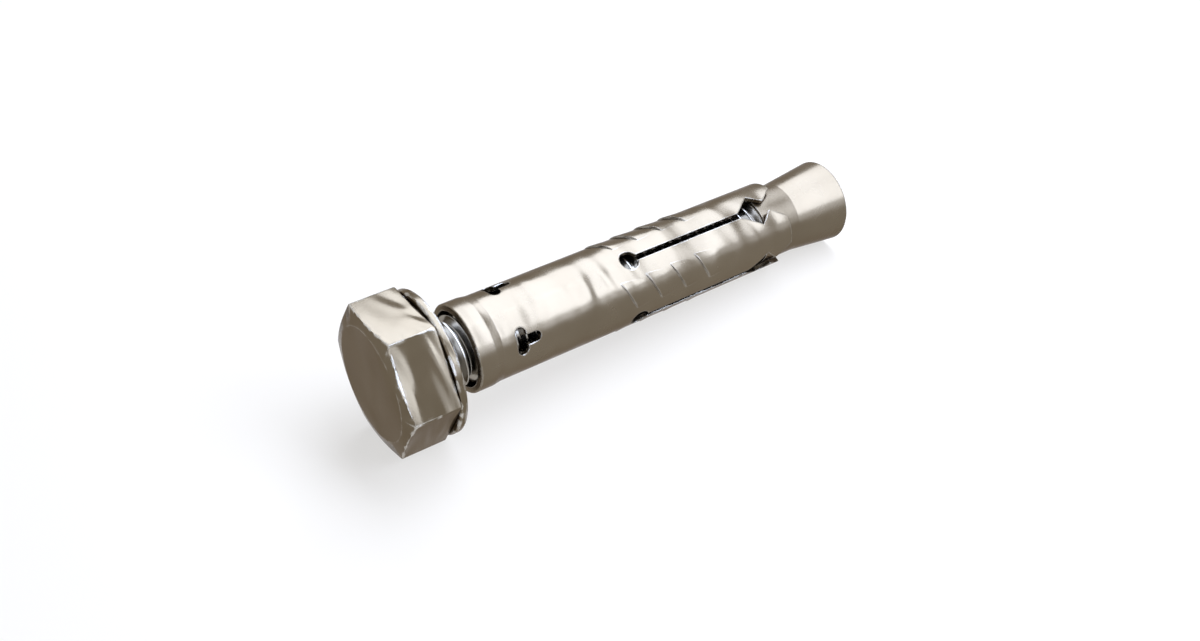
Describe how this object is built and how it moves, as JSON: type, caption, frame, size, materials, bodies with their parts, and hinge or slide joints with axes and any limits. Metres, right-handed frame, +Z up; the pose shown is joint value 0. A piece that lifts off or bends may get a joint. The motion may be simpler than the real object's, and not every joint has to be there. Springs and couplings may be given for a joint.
{
  "type": "anchor bolt",
  "caption": "Sleeve anchor for masonry: hexagon bolt and washer through a slotted expansion sleeve with barbs, and a cone nut at its tip.",
  "frame": {"origin": "floor level, under the middle of the anchor as it lies", "axes": "+X from the head to the tip, +Z up; the bolt's own axis leans 3.27 degrees down towards the tip"},
  "size_m": [0.0628, 0.0172, 0.0163],
  "materials": {
    "bolt_steel": "satin",
    "sleeve_steel": "satin",
    "cone_steel": "satin"
  },
  "bodies": {
    "sleeve": {"expansion_sleeve": "sleeve_steel"},
    "bolt": {"hex_bolt": "bolt_steel"},
    "cone": {"cone_nut": "cone_steel"},
    "washer": {"washer": "bolt_steel"}
  },
  "joints": [
    {"name": "bolt_turn", "type": "hinge", "parent": "sleeve", "child": "bolt", "pos_m": [-0.02514, 0, 0.00818], "axis": [0.9984, 0, -0.0571], "range_deg": [-720, 0]},
    {"name": "cone_travel", "type": "slide", "parent": "sleeve", "child": "cone", "axis": [0.9984, 0, -0.0571], "range_m": [0, 0.0025]},
    {"name": "washer_slide", "type": "slide", "parent": "bolt", "child": "washer", "axis": [0.9984, 0, -0.0571], "range_m": [0, 0.0033]}
  ],
  "couplings": [
    {"joint": "cone_travel", "follows": "bolt_turn", "m_per_rad": -0.00019894}
  ]
}
